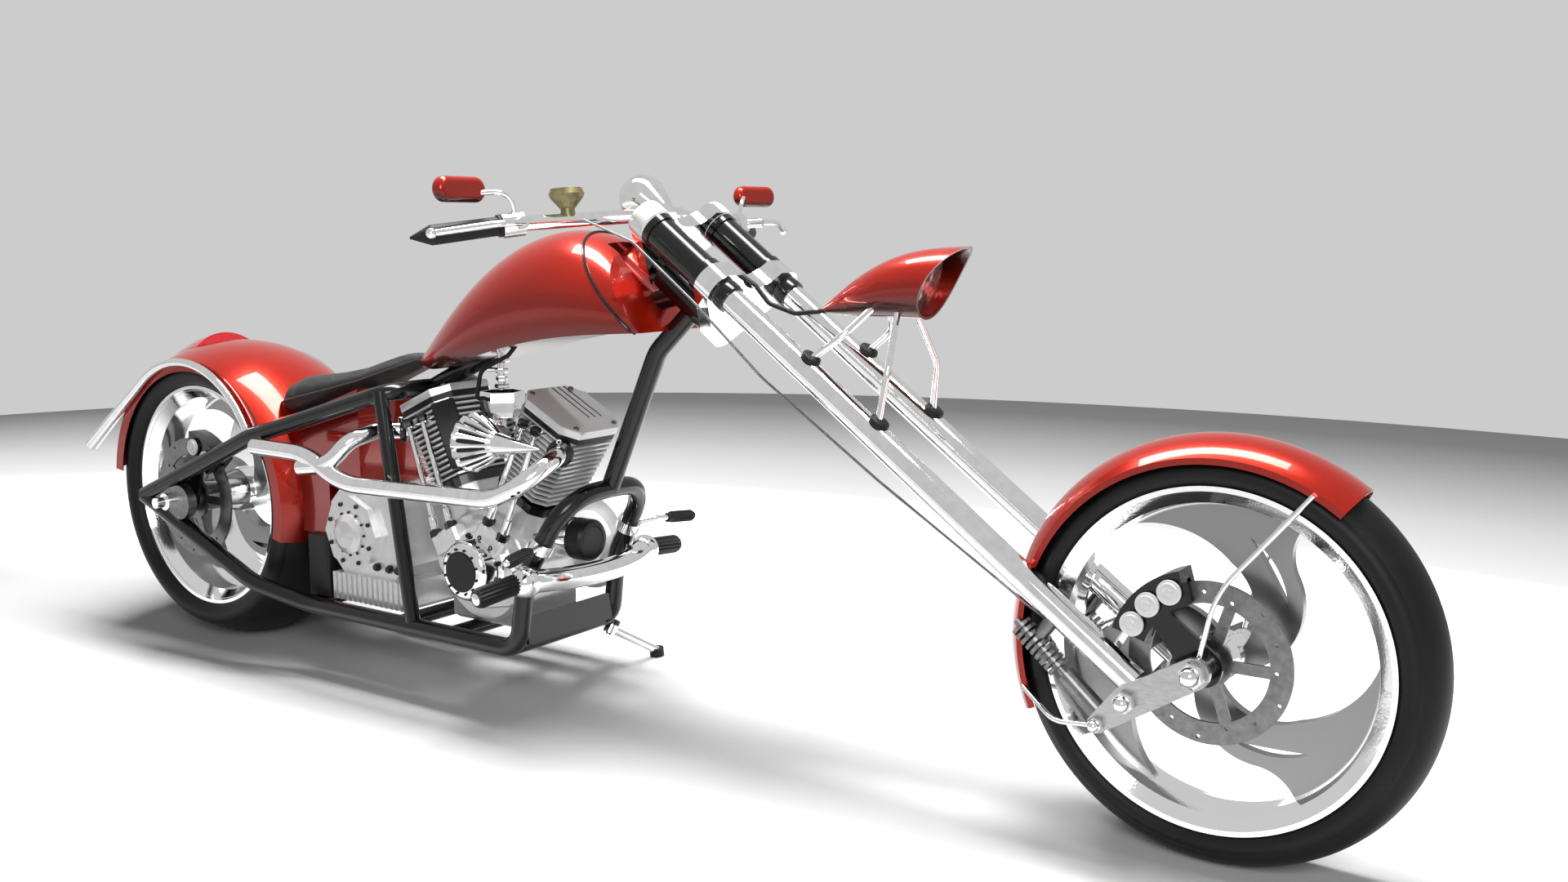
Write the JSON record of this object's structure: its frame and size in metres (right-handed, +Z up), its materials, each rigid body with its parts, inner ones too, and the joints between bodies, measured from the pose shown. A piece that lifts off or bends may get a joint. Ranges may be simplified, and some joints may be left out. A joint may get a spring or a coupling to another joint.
{
  "type": "chopper motorcycle",
  "caption": "Long-fork chopper motorcycle with an open V-twin engine, solo seat and fenders, leaning on its side stand; steering, wheels and stand move.",
  "frame": {"origin": "on the floor, under the centre of the parked motorcycle's bounding box", "axes": "+X forward, +Y to the rider's left (the side it leans to), +Z up"},
  "size_m": [3.1758, 1.0244, 1.1132],
  "materials": {
    "paint": "candy orange-red metallic gloss",
    "dark_paint": "dark red gloss",
    "frame_black": "gloss black",
    "chrome": "polished",
    "alloy": "polished cast",
    "satin_steel": "satin",
    "dark_steel": "dark satin",
    "tyre": "matt",
    "rubber": "matt",
    "leather": "soft",
    "lens_red": "clear gloss",
    "lens_clear": "clear",
    "black_plastic": "matt"
  },
  "bodies": {
    "frame": {"frame_rails": "frame_black", "seat_stays": "frame_black", "frame_spine": "frame_black", "frame_braces": "frame_black", "axle_plates": "dark_steel", "rear_axle": "chrome", "rear_fender": "paint", "fender_struts": "chrome", "tail_lamp": "lens_red", "fuel_tank": "paint", "fuel_cap": "chrome", "seat": "leather", "oil_tank": "dark_paint", "battery_box": "black_plastic", "cylinders": "alloy", "rocker_covers": "alloy", "crankcase": "alloy", "pushrod_tubes": "chrome", "cam_cover": "alloy", "air_cleaner": "chrome", "carburettor": "chrome", "exhausts": "chrome", "transmission": "alloy", "oil_cooler": "alloy", "primary_cover": "alloy", "final_belt": "rubber", "oil_filter": "black_plastic", "foot_controls": "chrome", "foot_pegs": "rubber", "rear_caliper": "frame_black"},
    "steering": {"fork_tubes": "chrome", "lower_clamp": "chrome", "upper_clamp": "chrome", "fork_sleeves": "frame_black", "handlebar": "chrome", "grips": "rubber", "hand_controls": "chrome", "mirrors": "paint", "fluid_reservoir": "satin_steel", "instrument_pod": "chrome", "headlamp_shell": "paint", "headlamp_lens": "lens_clear", "headlamp_legs": "chrome", "front_fender": "paint", "front_axle": "chrome", "front_rockers": "satin_steel", "fork_springs": "dark_steel", "fender_stays": "chrome", "front_caliper": "frame_black"},
    "front_wheel": {"front_tyre": "tyre", "front_rim": "satin_steel", "front_disc": "dark_steel"},
    "rear_wheel": {"rear_tyre": "tyre", "rear_rim": "satin_steel", "rear_disc": "dark_steel", "rear_pulley": "satin_steel"},
    "side_stand": {"stand_leg": "chrome", "stand_foot": "rubber"}
  },
  "joints": [
    {"name": "steering", "type": "hinge", "parent": "frame", "child": "steering", "pos_m": [0.28567, -0.01693, 0.80923], "axis": [-0.8026, 0.0623, 0.5932], "range_deg": [-30, 30]},
    {"name": "front_wheel_spin", "type": "hinge", "parent": "steering", "child": "front_wheel", "pos_m": [1.25789, -0.06742, 0.32853], "axis": [0, 0.9945, -0.1045], "continuous": true},
    {"name": "rear_wheel_spin", "type": "hinge", "parent": "frame", "child": "rear_wheel", "pos_m": [-1.17249, -0.06512, 0.35128], "axis": [0, 0.9945, -0.1045], "continuous": true},
    {"name": "side_stand_fold", "type": "hinge", "parent": "frame", "child": "side_stand", "pos_m": [-0.13858, 0.0753, 0.09885], "axis": [0.1324, 0.5777, 0.8055], "range_deg": [0, 94.9]}
  ]
}
